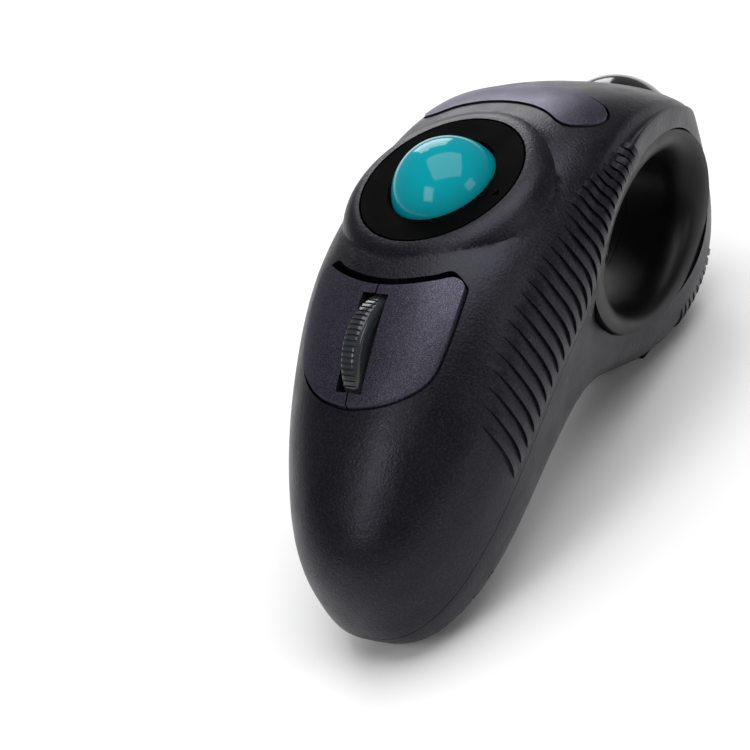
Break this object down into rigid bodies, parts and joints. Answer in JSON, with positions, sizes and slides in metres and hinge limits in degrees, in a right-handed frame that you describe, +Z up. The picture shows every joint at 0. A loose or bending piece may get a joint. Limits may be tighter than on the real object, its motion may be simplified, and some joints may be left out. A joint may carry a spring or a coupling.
{
  "type": "trackball mouse",
  "caption": "Handheld finger trackball mouse: humped two-shell body with a ball on top, split buttons round a scroll wheel, ribbed sides and a finger ring with a trigger under the nose.",
  "frame": {"origin": "middle of the length and width at the height of the surface it stands on", "axes": "+Z up as it stands on its pads, +Y towards the nose, +X to the right of someone holding it"},
  "size_m": [0.0436, 0.1004, 0.057],
  "materials": {
    "shell_black": "satin",
    "button_black": "satin",
    "plate_black": "matte",
    "liner_grey": "satin",
    "dome_black": "gloss",
    "ball_teal": "gloss",
    "inner_black": "matte",
    "tyre_clear": "gloss",
    "hub_grey": "satin",
    "steel": "satin",
    "board_green": "satin",
    "switch_black": "satin",
    "lens_clear": "gloss",
    "cell_jacket": "gloss",
    "pad_rubber": "matte",
    "trigger_grey": "satin",
    "ceramic_white": "gloss"
  },
  "bodies": {
    "casing": {"upper_shell": "shell_black", "lower_shell": "shell_black", "ring_liner_right": "liner_grey", "ring_liner_left": "liner_grey", "nose_cap": "dome_black", "ball_socket": "inner_black", "support_bearings": "ceramic_white", "trigger_pin": "steel", "door_pin": "steel", "main_board": "board_green", "front_board": "board_green", "button_switches": "switch_black", "wheel_switch": "switch_black", "laser_switch": "switch_black", "trigger_switch": "switch_black", "optical_sensor": "switch_black", "sensor_lens": "lens_clear", "cells": "cell_jacket", "contact_plates": "steel", "contact_springs": "steel", "power_switch": "switch_black", "usb_receiver": "switch_black", "shell_screw": "steel", "nose_pad": "pad_rubber", "tail_pads": "pad_rubber", "button_brackets": "inner_black", "laser_module": "steel"},
    "plate": {"ball_retainer": "plate_black"},
    "ball_core": {"trackball_core": "inner_black"},
    "ball": {"trackball": "ball_teal"},
    "left_key": {"left_button": "button_black"},
    "right_key": {"right_button": "button_black"},
    "crescent": {"crescent_button": "button_black"},
    "wheel_cradle": {"wheel_carrier": "inner_black", "wheel_encoder": "switch_black"},
    "wheel": {"scroll_tyre": "tyre_clear", "scroll_hub": "hub_grey", "wheel_axle": "steel"},
    "trigger_arm": {"trigger": "trigger_grey"},
    "slider": {"power_slider": "trigger_grey"},
    "door": {"battery_door": "shell_black"}
  },
  "joints": [
    {"name": "retainer_twist", "type": "hinge", "parent": "casing", "child": "plate", "pos_m": [0, -0.0001, 0.05135], "axis": [0, -0.1219, 0.9925], "range_deg": [0, 20]},
    {"name": "ball_roll", "type": "hinge", "parent": "casing", "child": "ball_core", "pos_m": [0, 0.00025, 0.04847], "axis": [1, 0, 0], "continuous": true},
    {"name": "ball_sway", "type": "hinge", "parent": "ball_core", "child": "ball", "pos_m": [0, 0.00025, 0.04847], "axis": [0, 0.9925, 0.1219], "continuous": true},
    {"name": "left_press", "type": "hinge", "parent": "casing", "child": "left_key", "pos_m": [0, -0.02928, 0.03467], "axis": [-1, 0, 0], "range_deg": [0, 2], "stiffness_Nm_per_rad": 0.12, "springref_deg": -0.57},
    {"name": "right_press", "type": "hinge", "parent": "casing", "child": "right_key", "pos_m": [0, -0.02928, 0.03467], "axis": [-1, 0, 0], "range_deg": [0, 2], "stiffness_Nm_per_rad": 0.12, "springref_deg": -0.57},
    {"name": "crescent_press", "type": "slide", "parent": "casing", "child": "crescent", "axis": [0, 0.1219, -0.9925], "range_m": [0, 0.0004], "stiffness_N_per_m": 1000, "springref_m": -0.0002},
    {"name": "wheel_click", "type": "slide", "parent": "casing", "child": "wheel_cradle", "axis": [0, 0.5379, -0.843], "range_m": [0, 0.00045], "stiffness_N_per_m": 1200, "springref_m": -0.0002},
    {"name": "wheel_spin", "type": "hinge", "parent": "wheel_cradle", "child": "wheel", "pos_m": [0, -0.0237, 0.03676], "axis": [1, 0, 0], "continuous": true},
    {"name": "trigger_pull", "type": "hinge", "parent": "casing", "child": "trigger_arm", "pos_m": [0, 0.00979, 0.0307], "axis": [-1, 0, 0], "range_deg": [0, 6], "stiffness_Nm_per_rad": 0.06, "springref_deg": -2.86},
    {"name": "power_slide", "type": "slide", "parent": "casing", "child": "slider", "axis": [0, 0.9925, 0.1219], "range_m": [0, 0.0025]},
    {"name": "door_swing", "type": "hinge", "parent": "casing", "child": "door", "pos_m": [0, -0.03334, 0.00536], "axis": [-1, 0, 0], "range_deg": [0, 60]}
  ]
}
